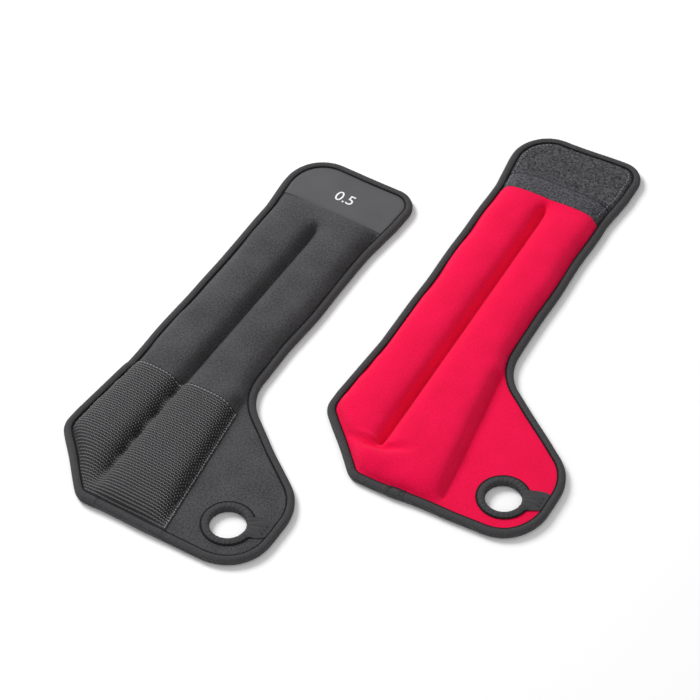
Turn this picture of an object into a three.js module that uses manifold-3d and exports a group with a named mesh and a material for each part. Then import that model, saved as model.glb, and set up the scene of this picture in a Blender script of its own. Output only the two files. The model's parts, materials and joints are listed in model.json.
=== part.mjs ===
// A pair of soft wrist and ankle cuff weights with a thumb hole, lying side by side.
// The cuffs are a left and a right hand version: one lies outer face up, the other lining up.
// Each is two fabric skins, sewn round sealed bags of iron shot and bound along the edge.
// A cuff bends anywhere along its length. Four straight lengths and a tab, hinged at their
// inner face, stand in for that, so every layer is cut at the same four bend lines.
// Units are millimetres. In a cuff's own frame X runs across the strap, towards the thumb
// flap, Y along the strap towards the tab, and Z up from the surface that it lies on.
import * as THREE from "three";
import { mergeVertices } from "three/addons/utils/BufferGeometryUtils.js";
import Module from "manifold-3d";

const wasm = await Module();
wasm.setup();

// Outline of one cuff. The thumb flap leaves the strap a little below Y = 0.
const strapWidth = 90;
const tabWidth = 96;
const palmFlare = 4.5; // how far the palm end stands out past the strap, on the plain side
const tipY = 223;
const crotchY = -3;
const bottomY = -136; // at the cut corner
const flapBottomY = -135;
const flapReach = 125; // from the middle of the strap to the flap's far edge
const flapTopY = -64;
const cutCornerX = -6; // the diagonal corner of the palm end
const cutCornerY = -89.5;
const tabY = 178; // the padded strap ends here and the flat tab starts
const hookStartY = 155; // the lining stops here, under the tab's inner panel
const tabShoulder = 10; // past tabY, where the tab reaches its full width
const bendY = [-64.8, 22.9, 114.3, tabY];

// Layers
const skin = 1.3; // fabric-faced foam
const clearance = 0.3; // between pieces that touch on the real cuff
const bindingThick = 1;
const bindingLip = 6; // how far the edge tape reaches in from the edge
const loopThick = 0.8;
const hookThick = 1;
const crown = 9.7; // how far the shot lifts the upper skin

// Weight channels
const sewnMargin = 1.5; // between the tape's lip and a channel
const seamHalf = 1.2; // half of the sewn line between the two channels
const fullWidth = 26; // a channel narrower than this lies lower
const flapSeamTop = { x: 42, y: -15 };
const flapSeamBottom = { x: 57, y: -120 };
const loopTopY = -20;
const loopSide = 2; // how far the loop patch reaches past the flap seam

// Thumb hole
const holeX = 92.5;
const holeY = -102.5;
const holeRadius = 12.5;
const ringLip = 6.5;
const tailWidth = 12;

// How the second cuff lies beside the first
const pairOffset = { x: 138.3, y: 109.5 };
const pairTurn = THREE.MathUtils.degToRad(3);

const strapHalf = strapWidth / 2;
const tabHalf = tabWidth / 2;
const palmHalf = strapHalf + palmFlare;
const lowerSkinZ = bindingThick + clearance;
const upperSkinZ = lowerSkinZ + skin + clearance;
const upperLipZ = upperSkinZ + skin + clearance;
const edgeHeight = upperLipZ + bindingThick;
const channelInset = bindingLip + sewnMargin;
const tipRadius = (radius) => Math.min(radius, tipY - tabY - tabShoulder - 4); // short tabs are less round
const channelReach = Math.min(strapHalf, tabHalf) - channelInset; // from the middle of the strap
const arcSteps = 5; // in each rounded corner
const roundSteps = 32; // round the thumb hole
const narrowest = 0.5; // the width of a channel where it has closed
const far = 400; // past the cuff in every direction

const fabric = (color, roughness) => new THREE.MeshStandardMaterial({ color, roughness });
const materials = {
  outer: fabric("#3c3c3e", 0.9),
  lining: fabric("#d3123f", 0.9),
  binding: fabric("#2c2a2c", 0.8),
  loop: fabric("#2a2a2b", 0.95),
  hook: fabric("#29292b", 1),
  panel: fabric("#4a4a4c", 0.5),
  bag: fabric("#8d8d88", 0.6),
};

// A closed three.js geometry as a manifold-3d solid.
function solidOf(geometry) {
  geometry.deleteAttribute("normal");
  geometry.deleteAttribute("uv");
  const merged = mergeVertices(geometry, 1e-4);
  const vertProperties = new Float32Array(merged.attributes.position.array);
  const triVerts = new Uint32Array(merged.index.array);
  return new wasm.Manifold(new wasm.Mesh({ numProp: 3, vertProperties, triVerts }));
}

function meshOf(name, solid, material) {
  const made = solid.getMesh();
  const geometry = new THREE.BufferGeometry();
  geometry.setAttribute("position", new THREE.BufferAttribute(made.vertProperties, 3));
  geometry.setIndex(new THREE.BufferAttribute(made.triVerts, 1));
  geometry.computeVertexNormals();
  const mesh = new THREE.Mesh(geometry, material);
  mesh.name = name;
  return mesh;
}

// The corners of the outline, anticlockwise, each with its radius.
const corners = [
  { x: cutCornerX, y: bottomY, radius: 14 },
  { x: flapReach, y: flapBottomY, radius: 34 },
  { x: flapReach, y: flapTopY, radius: 36 },
  { x: strapHalf, y: crotchY, radius: 40 },
  { x: strapHalf, y: tabY - 20, radius: 60 },
  { x: tabHalf, y: tabY + tabShoulder, radius: 60 },
  { x: tabHalf, y: tipY, radius: tipRadius(18) },
  { x: -tabHalf, y: tipY, radius: tipRadius(30) },
  { x: -tabHalf, y: tabY + tabShoulder, radius: 60 },
  { x: -strapHalf, y: tabY - 20, radius: 60 },
  { x: -strapHalf, y: crotchY - 15, radius: 60 },
  { x: -palmHalf, y: cutCornerY + 16, radius: 30 },
  { x: -palmHalf, y: cutCornerY, radius: 18 },
].map(({ x, y, radius }) => ({ point: new THREE.Vector2(x, y), radius }));

// The outline as a shape, moved inwards by inset.
function outline(inset) {
  const count = corners.length;
  const edges = corners.map(({ point }, i) => {
    const along = corners[(i + 1) % count].point.clone().sub(point).normalize();
    const inward = new THREE.Vector2(-along.y, along.x);
    return { along, start: point.clone().addScaledVector(inward, inset) };
  });
  const shape = new THREE.Shape();
  corners.forEach(({ radius }, i) => {
    const before = edges[(i + count - 1) % count];
    const after = edges[i];
    const turn = before.along.cross(after.along);
    const gap = after.start.clone().sub(before.start);
    const corner = before.start.clone().addScaledVector(before.along, gap.cross(after.along) / turn);
    const left = turn > 0 ? 1 : -1; // a left turn is a convex corner
    const arc = Math.max(radius - left * inset, 0.5);
    const bend = Math.abs(Math.atan2(turn, before.along.dot(after.along)));
    const back = arc * Math.tan(bend / 2);
    const enter = corner.clone().addScaledVector(before.along, -back);
    const normal = new THREE.Vector2(-before.along.y, before.along.x).multiplyScalar(left);
    const centre = enter.clone().addScaledVector(normal, arc);
    const from = Math.atan2(enter.y - centre.y, enter.x - centre.x);
    if (i === 0) shape.moveTo(enter.x, enter.y);
    else shape.lineTo(enter.x, enter.y);
    shape.absarc(centre.x, centre.y, arc, from, from + left * bend, left < 0);
  });
  shape.closePath();
  return shape;
}

function plate(shape, low, high, curveSegments = arcSteps) {
  const depth = high - low;
  const geometry = new THREE.ExtrudeGeometry(shape, { depth, bevelEnabled: false, curveSegments });
  return solidOf(geometry).translate([0, 0, low]);
}

function block(lowX, highX, lowY, highY, lowZ = -far, highZ = far) {
  const geometry = new THREE.BoxGeometry(highX - lowX, highY - lowY, highZ - lowZ);
  geometry.translate((lowX + highX) / 2, (lowY + highY) / 2, (lowZ + highZ) / 2);
  return solidOf(geometry);
}

// The stretch of the cuff between two bend lines, with half of the clearance at each.
function stretch(index) {
  const lowY = index === 0 ? -far : bendY[index - 1] + clearance / 2;
  const highY = index === bendY.length ? far : bendY[index] - clearance / 2;
  return block(-far, far, lowY, highY);
}

// The plain side's limit of the weight channels: the strap's edge, then the cut corner.
function channelLeft(y) {
  const slope = (cutCornerX + palmHalf) / (bottomY - cutCornerY);
  const onCut = -palmHalf + (y - cutCornerY) * slope + channelInset * Math.hypot(1, slope);
  return THREE.MathUtils.clamp(onCut, -channelReach, -seamHalf - narrowest);
}

// The thumb side's limit: the strap's edge, then the sewn line of the thumb flap.
function channelRight(y) {
  if (y >= 0) return channelReach;
  if (y > flapSeamTop.y) return THREE.MathUtils.mapLinear(y, 0, flapSeamTop.y, channelReach, flapSeamTop.x);
  return THREE.MathUtils.mapLinear(y, flapSeamTop.y, flapSeamBottom.y, flapSeamTop.x, flapSeamBottom.x);
}

// Where the channels are measured along the cuff, and how full they are there.
const channelEndLow = flapSeamBottom.y - 3;
const channelEndHigh = tabY - 7;
const roundEnd = 11; // the length over which a channel closes
const ends = [0, 0.15, 0.5, 1];
const stationY = [
  ...ends.map((share) => channelEndLow + share * roundEnd),
  cutCornerY - 12,
  cutCornerY,
  bendY[0],
  flapSeamTop.y,
  0,
  bendY[1],
  (bendY[1] + bendY[2]) / 2,
  bendY[2],
  hookStartY,
  ...ends.map((share) => channelEndHigh - share * roundEnd).reverse(),
];

function fullness(y) {
  const inside = Math.min(y - channelEndLow, channelEndHigh - y) / roundEnd;
  if (inside >= 1) return 1;
  return inside <= 0 ? 0 : Math.sqrt(1 - (1 - inside) ** 2);
}

const across = [0, 0.06, 0.2, 0.5, 0.8, 0.94, 1];
const arch = (share) => Math.sqrt(Math.max(0, 1 - (2 * share - 1) ** 2));

// One row of points across both channels, from the plain side to the thumb side.
// A narrow row holds less shot, so it rises less.
function channelRow(y) {
  const spans = [
    [channelLeft(y), -seamHalf],
    [seamHalf, channelRight(y)],
  ];
  return spans.map(([low, high]) => {
    const rise = crown * fullness(y) * Math.sqrt(Math.min(1, (high - low) / fullWidth));
    return across.map((share) => ({ x: low + share * (high - low), rise: rise * arch(share) }));
  });
}

// A closed slab over rows of points, each {x, y, low, high}.
function slab(rows) {
  const wide = rows[0].length;
  const positions = [];
  for (const level of ["low", "high"]) {
    for (const row of rows) for (const point of row) positions.push(point.x, point.y, point[level]);
  }
  const half = rows.length * wide;
  const index = [];
  const quad = (a, b, c, d) => index.push(a, b, c, a, c, d);
  for (let j = 0; j + 1 < rows.length; j++) {
    for (let i = 0; i + 1 < wide; i++) {
      const a = j * wide + i;
      quad(a, a + wide, a + wide + 1, a + 1);
      quad(half + a, half + a + 1, half + a + wide + 1, half + a + wide);
    }
  }
  const rim = [];
  for (let i = 0; i < wide; i++) rim.push(i);
  for (let j = 1; j < rows.length; j++) rim.push(j * wide + wide - 1);
  for (let i = wide - 2; i >= 0; i--) rim.push((rows.length - 1) * wide + i);
  for (let j = rows.length - 2; j > 0; j--) rim.push(j * wide);
  rim.forEach((a, k) => {
    const b = rim[(k + 1) % rim.length];
    quad(a, b, half + b, half + a);
  });
  const geometry = new THREE.BufferGeometry();
  geometry.setAttribute("position", new THREE.BufferAttribute(new Float32Array(positions), 3));
  geometry.setIndex(index);
  return solidOf(geometry);
}

// A layer that lies over both channels: flat at low, and lifted by the shot inside.
function domedLayer(low, thick) {
  const flatRow = (y) => channelRow(y).map((span) => span.map(({ x }) => ({ x, rise: 0 })));
  const rows = [
    [bottomY - 10, flatRow(channelEndLow)],
    ...stationY.map((y) => [y, channelRow(y)]),
    [tipY + 10, flatRow(channelEndHigh)],
  ];
  return slab(
    rows.map(([y, spans]) =>
      [{ x: -far / 2, rise: 0 }, ...spans.flat(), { x: far / 2, rise: 0 }].map(({ x, rise }) => ({
        x,
        y,
        low: low + rise,
        high: low + rise + thick,
      })),
    ),
  );
}

// The bag of shot in one channel, 0 on the plain side and 1 on the thumb side.
function bag(channel) {
  const base = upperSkinZ;
  const open = stationY.filter((y) => fullness(y) > 0);
  return slab(
    open.map((y) =>
      channelRow(y)[channel]
        .slice(1, -1)
        .map(({ x, rise }) => ({ x, y, low: base, high: base + Math.max(rise - clearance, 0.2) })),
    ),
  );
}

function disc(radius) {
  return new THREE.Shape().absarc(holeX, holeY, radius, 0, 2 * Math.PI, false);
}

// The tape folded round the thumb hole, with the tail that runs to the edge tape.
function thumbRing() {
  const outer = holeRadius + ringLip;
  const wall = holeRadius + bindingThick;
  const profile = [
    [holeRadius, 0],
    [outer, 0],
    [outer, bindingThick],
    [wall, bindingThick],
    [wall, upperLipZ],
    [outer, upperLipZ],
    [outer, edgeHeight],
    [holeRadius, edgeHeight],
    [holeRadius, 0],
  ].map(([x, y]) => new THREE.Vector2(x, y));
  const lathe = new THREE.LatheGeometry(profile, roundSteps);
  lathe.rotateX(Math.PI / 2);
  lathe.translate(holeX, holeY, 0);
  const tailEnd = flapReach - bindingLip - clearance;
  const tail = (low) =>
    block(holeX + wall, tailEnd, holeY + 1, holeY + 1 + tailWidth, low, low + bindingThick);
  const tails = tail(0).add(tail(upperLipZ));
  return solidOf(lathe).add(tails);
}

// The part of the plan that the loop patch covers.
function loopArea() {
  const side = (y) => channelRight(y) + loopSide;
  const shape = new THREE.Shape();
  shape.moveTo(-far / 2, loopTopY);
  shape.lineTo(-far / 2, -far / 2);
  shape.lineTo(side(bottomY), -far / 2);
  shape.lineTo(side(bottomY), bottomY);
  shape.lineTo(side(loopTopY), loopTopY);
  shape.closePath();
  const inside = plate(outline(bindingLip + clearance), -far, far);
  return plate(shape, -far, far).intersect(inside);
}

// One cuff. Its two faces swap: the upper one is lifted by the shot, the lower one lies flat.
function cuff(side, liningUp) {
  const group = new THREE.Group();
  const add = (name, solid, material) => group.add(meshOf(`${side}_${name}`, solid, material));
  const cloth = plate(outline(bindingThick + clearance), -far, far);
  const hole = plate(disc(holeRadius + bindingThick + clearance), -far, far, roundSteps);
  const skinArea = cloth.subtract(hole);
  const upper = domedLayer(upperSkinZ, skin).intersect(skinArea);
  const lower = plate(outline(bindingThick + clearance), lowerSkinZ, lowerSkinZ + skin).subtract(hole);
  const [outer, lining] = liningUp ? [lower, upper] : [upper, lower];
  const padded = bendY.length;

  for (let i = 0; i < padded; i++) {
    const part = stretch(i);
    add(`outer_cover_${i + 1}`, outer.intersect(part), materials.outer);
    const red = block(-far, far, -far, hookStartY);
    add(`lining_${i + 1}`, lining.intersect(part).intersect(red), materials.lining);
  }
  const backing = block(-far, far, hookStartY + clearance, far);
  add("hook_backing", lining.intersect(stretch(padded - 1)).intersect(backing), materials.hook);

  // The bags: one in each channel of each length.
  for (const [channel, name] of ["plain", "thumb"].entries()) {
    const whole = bag(channel);
    for (let i = 0; i < padded; i++) {
      add(`shot_bag_${name}_side_${i + 1}`, whole.intersect(stretch(i)), materials.bag);
    }
  }

  // The edge tape, folded over both skins.
  const tape = plate(outline(0), 0, edgeHeight)
    .subtract(plate(outline(bindingLip), -far, far))
    .subtract(plate(outline(bindingThick), bindingThick, upperLipZ));
  add("edge_binding_palm", tape.intersect(stretch(0)), materials.binding);
  for (let i = 1; i < padded; i++) {
    const sides = { plain: block(-far, 0, -far, far), thumb: block(0, far, -far, far) };
    for (const [name, half] of Object.entries(sides)) {
      add(`edge_binding_${name}_side_${i + 1}`, tape.intersect(stretch(i)).intersect(half), materials.binding);
    }
  }
  add("edge_binding_tab", tape.intersect(stretch(padded)), materials.binding);
  add("thumb_ring", thumbRing(), materials.binding);

  // The loop patch lies on the outer face, over the palm end.
  const loopUp = domedLayer(upperSkinZ + skin + clearance, loopThick);
  const loopDown = block(-far, far, -far, far, lowerSkinZ - clearance - loopThick, lowerSkinZ - clearance);
  const loop = (liningUp ? loopDown : loopUp).intersect(loopArea());
  add("loop_patch_1", loop.intersect(stretch(0)), materials.loop);
  add("loop_patch_2", loop.intersect(stretch(1)), materials.loop);

  // The tab: a coated panel outside and a hook panel inside.
  const tabSkin = (low) => plate(outline(bindingThick + clearance), low, low + skin).intersect(stretch(padded));
  const [panelZ, hookBaseZ] = liningUp ? [lowerSkinZ, upperSkinZ] : [upperSkinZ, lowerSkinZ];
  const hookFrom = liningUp ? hookBaseZ + skin / 2 : hookBaseZ - hookThick;
  const hooks = plate(outline(bindingLip + clearance), hookFrom, hookFrom + skin / 2 + hookThick);
  add("end_panel", tabSkin(panelZ), materials.panel);
  add("hook_panel", tabSkin(hookBaseZ).add(hooks.intersect(stretch(padded))), materials.hook);
  return group;
}

const left = cuff("left", false);
const right = cuff("right", true);
right.position.set(pairOffset.x, pairOffset.y, 0);
right.rotation.z = pairTurn;

// The part's origin is on the surface, under the middle of the pair.
const pair = new THREE.Group();
pair.add(left, right);
pair.updateMatrixWorld(true);
const middle = new THREE.Box3().setFromObject(pair, true).getCenter(new THREE.Vector3());
left.position.x -= middle.x;
left.position.y -= middle.y;
right.position.x -= middle.x;
right.position.y -= middle.y;

export default pair;
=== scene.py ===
"""A left and a right hand cuff weight, lying flat side by side: grey outside, red inside."""
import json
import math

import bpy
import numpy as np
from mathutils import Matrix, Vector, noise


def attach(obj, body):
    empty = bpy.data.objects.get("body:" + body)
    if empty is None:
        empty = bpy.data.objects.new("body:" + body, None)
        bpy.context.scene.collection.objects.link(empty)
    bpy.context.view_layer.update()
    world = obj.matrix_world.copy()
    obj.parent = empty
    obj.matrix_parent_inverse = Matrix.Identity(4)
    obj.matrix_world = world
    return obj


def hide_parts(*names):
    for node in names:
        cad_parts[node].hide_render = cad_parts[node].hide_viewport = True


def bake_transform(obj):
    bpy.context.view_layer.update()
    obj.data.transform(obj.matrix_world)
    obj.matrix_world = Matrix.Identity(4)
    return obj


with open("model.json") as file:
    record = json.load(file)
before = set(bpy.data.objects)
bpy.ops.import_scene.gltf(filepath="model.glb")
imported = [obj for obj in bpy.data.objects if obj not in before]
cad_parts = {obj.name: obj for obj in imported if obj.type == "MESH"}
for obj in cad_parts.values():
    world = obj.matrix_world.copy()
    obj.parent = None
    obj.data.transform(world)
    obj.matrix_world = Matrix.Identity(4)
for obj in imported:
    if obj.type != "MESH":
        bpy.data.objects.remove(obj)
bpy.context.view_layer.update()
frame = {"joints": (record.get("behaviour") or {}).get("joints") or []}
scene = bpy.context.scene

# --------------------------------------
# How the cuffs lie. Each is drawn flat in millimetres: u across the strap towards the thumb
# flap, v along it towards the tab, z up from the table. It bends at four lines across v.
MM = 0.001
WRAP_V = 22.9
SIDES = ("left", "right")  # left lies outer face up, right lies lining up
ZONES = (  # the two bodies either side of a bend line, and its joint
    ("palm", "lower", "palm_bend"),
    ("lower", "middle", "wrap"),
    ("middle", "upper", "upper_bend"),
    ("upper", "tab", "tab_bend"),
)
PALM, LOWER, UPPER, TAB = range(4)
FOLD = 8.5  # how far either side of a bend line cloth would turn from one body to the next; bends works out these ends but does not use them
joints = {joint["name"]: joint for joint in frame["joints"]}


def lie(side):
    """A cuff's origin on the table, and its u and v directions."""
    wrap, upper = (Vector(joints[f"{side}_{name}"]["pos_m"]) for name in ("wrap", "upper_bend"))
    wrap.z = upper.z = 0
    along = (upper - wrap).normalized()
    return wrap - along * WRAP_V * MM, Vector((along.y, -along.x, 0)), along


def placed(side, points):
    """Points of (u, v, z) in millimetres as places in the frame, in metres."""
    origin, across, along = (np.array(part) for part in lie(side))
    points = np.asarray(points, float).reshape(-1, 3) * MM
    up = np.array((0.0, 0.0, 1.0))
    return origin + points[:, :1] * across + points[:, 1:2] * along + points[:, 2:] * up


def bend_v(side, zone):
    origin, _, along = lie(side)
    return (Vector(joints[f"{side}_{ZONES[zone][2]}"]["pos_m"]) - origin).dot(along) / MM


def bends(piece, side, zone):
    """The piece crosses one bend line. The turn's ends are worked out but unused: it only bakes the
    transform.
    """
    v = bend_v(side, zone)
    start, end = (Vector(p) for p in placed(side, [(0, v - FOLD, 0), (0, v + FOLD, 0)]))
    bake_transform(piece)


# --------------------------------------
# The cut shape. Every layer is cut to one outline: a strap with a wider tab, and a palm end
# with a cut corner and a thumb flap. Hand sewing leaves the edge a little unsteady.
OUTLINE = (  # corner u, v and the radius it is rounded to, anticlockwise
    (-6, -136, 14), (125, -135, 34), (125, -64, 36), (45, -3, 40), (45, 158, 60),
    (48, 188, 60), (48, 223, 18), (-48, 223, 30), (-48, 188, 60), (-45, 158, 60),
    (-45, -18, 60), (-49.5, -73.5, 30), (-49.5, -89.5, 18),
)
HOLE = (92.5, -102.5)
HOLE_RADIUS = 12.5
RIM_STEP = 1.1
UNSTEADY = 1.0


def smooth(x):
    x = np.clip(x, 0, 1)
    return x * x * (3 - 2 * x)


def wander(u, v, size, seed):
    """Soft random height from -1 to 1 whose bumps are about this size across."""
    flat = [
        noise.noise(Vector((a / size, b / size, seed))) for a, b in zip(np.ravel(u), np.ravel(v))
    ]
    return np.array(flat).reshape(np.shape(u))


def rounded(corners):
    """The outline's points: straight sides with an arc at each corner."""
    points = []
    for i, (u, v, radius) in enumerate(corners):
        here = np.array((u, v), float)
        before = here - np.array(corners[i - 1][:2])
        after = np.array(corners[(i + 1) % len(corners)][:2]) - here
        before, after = before / np.linalg.norm(before), after / np.linalg.norm(after)
        turn = before[0] * after[1] - before[1] * after[0]
        bend = abs(math.atan2(turn, before @ after))
        enter = here - before * radius * math.tan(bend / 2)
        side = math.copysign(1, turn)
        centre = enter + side * radius * np.array((-before[1], before[0]))
        first = math.atan2(*(enter - centre)[::-1])
        for share in np.linspace(0, 1, max(2, math.ceil(bend * radius))):
            angle = first + side * bend * share
            points.append(centre + radius * np.array((math.cos(angle), math.sin(angle))))
    return np.array(points)


def rim_of(side):
    """Even stations round the edge: place, inward direction and distance travelled."""
    loop = rounded(OUTLINE)
    loop = np.vstack([loop, loop[:1]])
    travel = np.r_[0, np.cumsum(np.linalg.norm(np.diff(loop, axis=0), axis=1))]
    count = round(travel[-1] / RIM_STEP)
    s = np.arange(count) * travel[-1] / count
    place = np.stack([np.interp(s, travel, loop[:, k]) for k in (0, 1)], axis=1)
    tangent = np.roll(place, -1, 0) - np.roll(place, 1, 0)
    tangent /= np.linalg.norm(tangent, axis=1)[:, None]
    inward = np.c_[-tangent[:, 1], tangent[:, 0]]
    shift = UNSTEADY * wander(place[:, 0], place[:, 1], 34, SIDES.index(side) * 7 + 1)
    return place + inward * shift[:, None], inward, s


rims = {side: rim_of(side) for side in SIDES}

# --------------------------------------
# The fill. Iron shot lifts the upper skin between the sewn lines, as air lifts a film, so its
# height comes from a film held along the edge, the divider and the flap's sewn line.
GRID = 1.5
BOUND_EDGE = 6.8  # the edge tape's lip holds the skins down this far in
CROWN = 9.7
FULL_FILM = 165.0  # the film's own height in the middle of a strap channel
LIMPNESS = 2.3
SEAM_HOLD = 20.0
SEAM_HALF = 1.1
FLAP_PRESSURE = 0.012  # the flap holds only foam
FILM_STEPS = 1500
FLAP_SEAM = ((43.0, -10.0), (57.5, -122.0))
TUBE_END = 176.0
PALM_FILL = {"left": 0.55, "right": 0.85}  # the share of shot that reaches the palm's end
SEWN_IN = 0.9  # how much deeper the thread itself pulls the skin, right at a sewn line
TAPER = 20.0  # the length over which the divider's stitches loosen at its upper end
DIVIDER = {"left": (-117.0, 158.0), "right": (-102.0, 151.0)}
CREASE = ((-44.0, -97.0), (-27.0, -104.0), (-8.0, -108.0), (6.0, -107.0), (24.0, -101.0))
CREASE_DEPTH, CREASE_HALF = 0.6, 3.8  # a share of the height, and millimetres
ROLL_RISE, ROLL_AT, ROLL_HALF = 2.6, 11.0, 7.5  # the roll of cloth below the crease
HELD_ROUND_HOLE = 9.5  # outside the hole's edge
FLAP_TOP = 6.0  # the strap is full above this line
GRID_U = np.arange(-60, 132, GRID)
GRID_V = np.arange(-145, 232, GRID)
PLAN_U, PLAN_V = np.meshgrid(GRID_U, GRID_V)


def depth_inside(u, v, loop):
    """How far each point lies inside a closed loop, and below 0 outside it."""
    points = np.c_[np.ravel(u), np.ravel(v)]
    a, b = loop, np.roll(loop, -1, 0)
    ab = b - a
    out = np.empty(len(points))
    for first in range(0, len(points), 2000):
        p = points[first : first + 2000, None, :]
        t = np.clip(((p - a) * ab).sum(-1) / (ab**2).sum(-1), 0, 1)
        gap = np.sqrt(((p - a - t[..., None] * ab) ** 2).sum(-1).min(1))
        over = (a[:, 1] > p[..., 1]) != (b[:, 1] > p[..., 1])
        rise = np.where(ab[:, 1] == 0, 1, ab[:, 1])
        cross = p[..., 0] < ab[:, 0] * (p[..., 1] - a[:, 1]) / rise + a[:, 0]
        out[first : first + 2000] = np.where((over & cross).sum(1) % 2, gap, -gap)
    return out.reshape(np.shape(u))


def from_line(u, v, line):
    """The distance to an open line of points."""
    gaps = []
    for a, b in zip(np.array(line[:-1], float), np.array(line[1:], float)):
        ab = b - a
        t = np.clip(((u - a[0]) * ab[0] + (v - a[1]) * ab[1]) / (ab @ ab), 0, 1)
        gaps.append(np.hypot(u - a[0] - t * ab[0], v - a[1] - t * ab[1]))
    return np.min(gaps, axis=0)


def flap_seam_u(v):
    (top_u, top_v), (low_u, low_v) = FLAP_SEAM
    return top_u + (top_v - v) * (low_u - top_u) / (top_v - low_v)


def from_hole(u, v):
    return np.hypot(u - HOLE[0], v - HOLE[1])


def bell(x, half):
    """1 at 0, falling softly away to either side."""
    return np.exp(-((x / half) ** 2))


def divider(side):
    low, high = DIVIDER[side]
    return (0, low), (0, high)


def film(side, depth):
    """The height of a film under even pressure, held softly along every sewn line."""
    u, v = PLAN_U, PLAN_V
    hold = smooth((BOUND_EDGE + 0.8 - depth) / 1.6) + smooth((v - TUBE_END) / 2)
    taper = smooth((DIVIDER[side][1] + 3 - v) / TAPER) ** 2
    hold = hold + taper * bell(from_line(u, v, divider(side)), SEAM_HALF)
    hold = hold + bell(from_line(u, v, FLAP_SEAM), SEAM_HALF)
    hold = hold + smooth((HOLE_RADIUS + HELD_ROUND_HOLE - from_hole(u, v)) / 2)
    on_flap = (u > flap_seam_u(v)) & (v < FLAP_TOP)
    pressure = GRID**2 * np.where(on_flap, FLAP_PRESSURE, 1.0)
    divide = 4 + GRID**2 * SEAM_HOLD * hold
    rise = np.zeros_like(u)
    for _ in range(FILM_STEPS):
        around = np.zeros_like(rise)
        around[1:-1, 1:-1] = rise[:-2, 1:-1] + rise[2:, 1:-1] + rise[1:-1, :-2] + rise[1:-1, 2:]
        rise = (around + pressure) / divide
    return rise


def puffed(side, depth):
    """How far the fill lifts the upper skin, with lumps, puckers and, on one cuff, a crease."""
    u, v = PLAN_U, PLAN_V
    share = film(side, depth) / FULL_FILM
    dome = CROWN * (1 - np.exp(-LIMPNESS * share)) / (1 - math.exp(-LIMPNESS))
    dome = dome * (PALM_FILL[side] + (1 - PALM_FILL[side]) * smooth((v + 130) / 42))
    seed = 20 + SIDES.index(side)
    soft = np.clip(dome / 4, 0, 1)
    lumps = 0.55 * wander(u, v, 30, seed) + 0.22 * wander(u, v * 0.6, 9, seed + 5)
    near = bell(u, 7) * (v < DIVIDER[side][1])
    puckers = 0.5 * wander(u * 0.35, v, 4.5, seed + 9) * near
    ripples = 0.28 * wander(u, v, 7, seed + 13) * bell(depth - 9, 4)
    height = dome + soft * (lumps + puckers + ripples)
    if side == "right":
        gap = from_line(u, v, CREASE)
        fade = smooth((30 - u) / 34)
        height = height * (1 - CREASE_DEPTH * fade * bell(gap, CREASE_HALF))
        roll = ROLL_RISE * fade * bell(gap - ROLL_AT, ROLL_HALF)
        height = height + roll * (v < -100) * soft
    return np.maximum(height, 0)


depths = {side: depth_inside(PLAN_U, PLAN_V, rims[side][0][::2]) for side in SIDES}
heights = {side: puffed(side, depths[side]) for side in SIDES}


def at(field, u, v):
    """A value on the flat grid, read between its points."""
    x = np.clip((u - GRID_U[0]) / GRID, 0, len(GRID_U) - 1.001)
    y = np.clip((v - GRID_V[0]) / GRID, 0, len(GRID_V) - 1.001)
    i, j = x.astype(int), y.astype(int)
    x, y = x - i, y - j
    low = field[j, i] * (1 - x) + field[j, i + 1] * x
    high = field[j + 1, i] * (1 - x) + field[j + 1, i + 1] * x
    return low * (1 - y) + high * y


# --------------------------------------
# Outer cover: dark grey polyester jersey laminated to thin foam, one panel on each cuff. It is
# the raised face of the left cuff and the flat underside of the right one.
SKIN = 1.3
LOW_SKIN = 1.3  # the lower skin's underside at the edge
HIGH_SKIN = 2.9  # the upper skin's underside at the edge
SAG = 0.95  # how far the shot presses the lower skin down to the table
CUTS = (-23.0, 68.6, 152.0)  # where one length of cloth ends and the next starts
UNDER_TAPE = 1.9  # the skins' own edge, inside the edge tape
PANEL_V = 178.0
LOOP_TOP = -19.0
FIRST_U, LAST_U = -57.0, 129.0  # every layer's plan lies between these
WAVE = 0.314  # the wave texture's scale for a pitch of one unit
FAR = 300.0


def linear(hex_colour):
    """An sRGB hex colour as the linear colour that the shader wants."""
    parts = [int(hex_colour[i : i + 2], 16) / 255 for i in (1, 3, 5)]
    return (*[c / 12.92 if c <= 0.04045 else ((c + 0.055) / 1.055) ** 2.4 for c in parts], 1)


def add(tree, kind, inputs=None, **settings):
    """One node, with its settings, and its inputs as values or as links."""
    made = tree.nodes.new(kind)
    for name, value in settings.items():
        setattr(made, name, value)
    for name, value in (inputs or {}).items():
        if isinstance(value, bpy.types.NodeSocket):
            tree.links.new(value, made.inputs[name])
        else:
            made.inputs[name].default_value = value
    return made


def finish_of(name, roughness, specular=None):
    """A new material, its tree, and its one surface shader."""
    material = bpy.data.materials.new(name)
    material.use_nodes = True
    surface = material.node_tree.nodes["Principled BSDF"]
    surface.inputs["Roughness"].default_value = roughness
    if specular is not None:
        surface.inputs["Specular IOR Level"].default_value = specular
    return material, material.node_tree, surface


def cloudy(tree, vector, scale, detail=2.0, roughness=0.5):
    values = {"Vector": vector, "Scale": scale, "Detail": detail, "Roughness": roughness}
    return add(tree, "ShaderNodeTexNoise", values).outputs["Fac"]


def reckon(tree, operation, *values):
    return add(tree, "ShaderNodeMath", dict(enumerate(values)), operation=operation).outputs[0]


def ramp(tree, value, low, high):
    """The value spread from 0 at the low end to 1 at the high end."""
    return add(tree, "ShaderNodeMapRange", {"Value": value, "From Min": low, "From Max": high}
        ).outputs["Result"]


def mixed(tree, share, *colours):
    """From the first colour to the second, each a hex colour or a link."""
    first, second = (linear(c) if isinstance(c, str) else c for c in colours)
    return add(tree, "ShaderNodeMix", {"Factor": share, "A": first, "B": second},
        data_type="RGBA").outputs["Result"]


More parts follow.
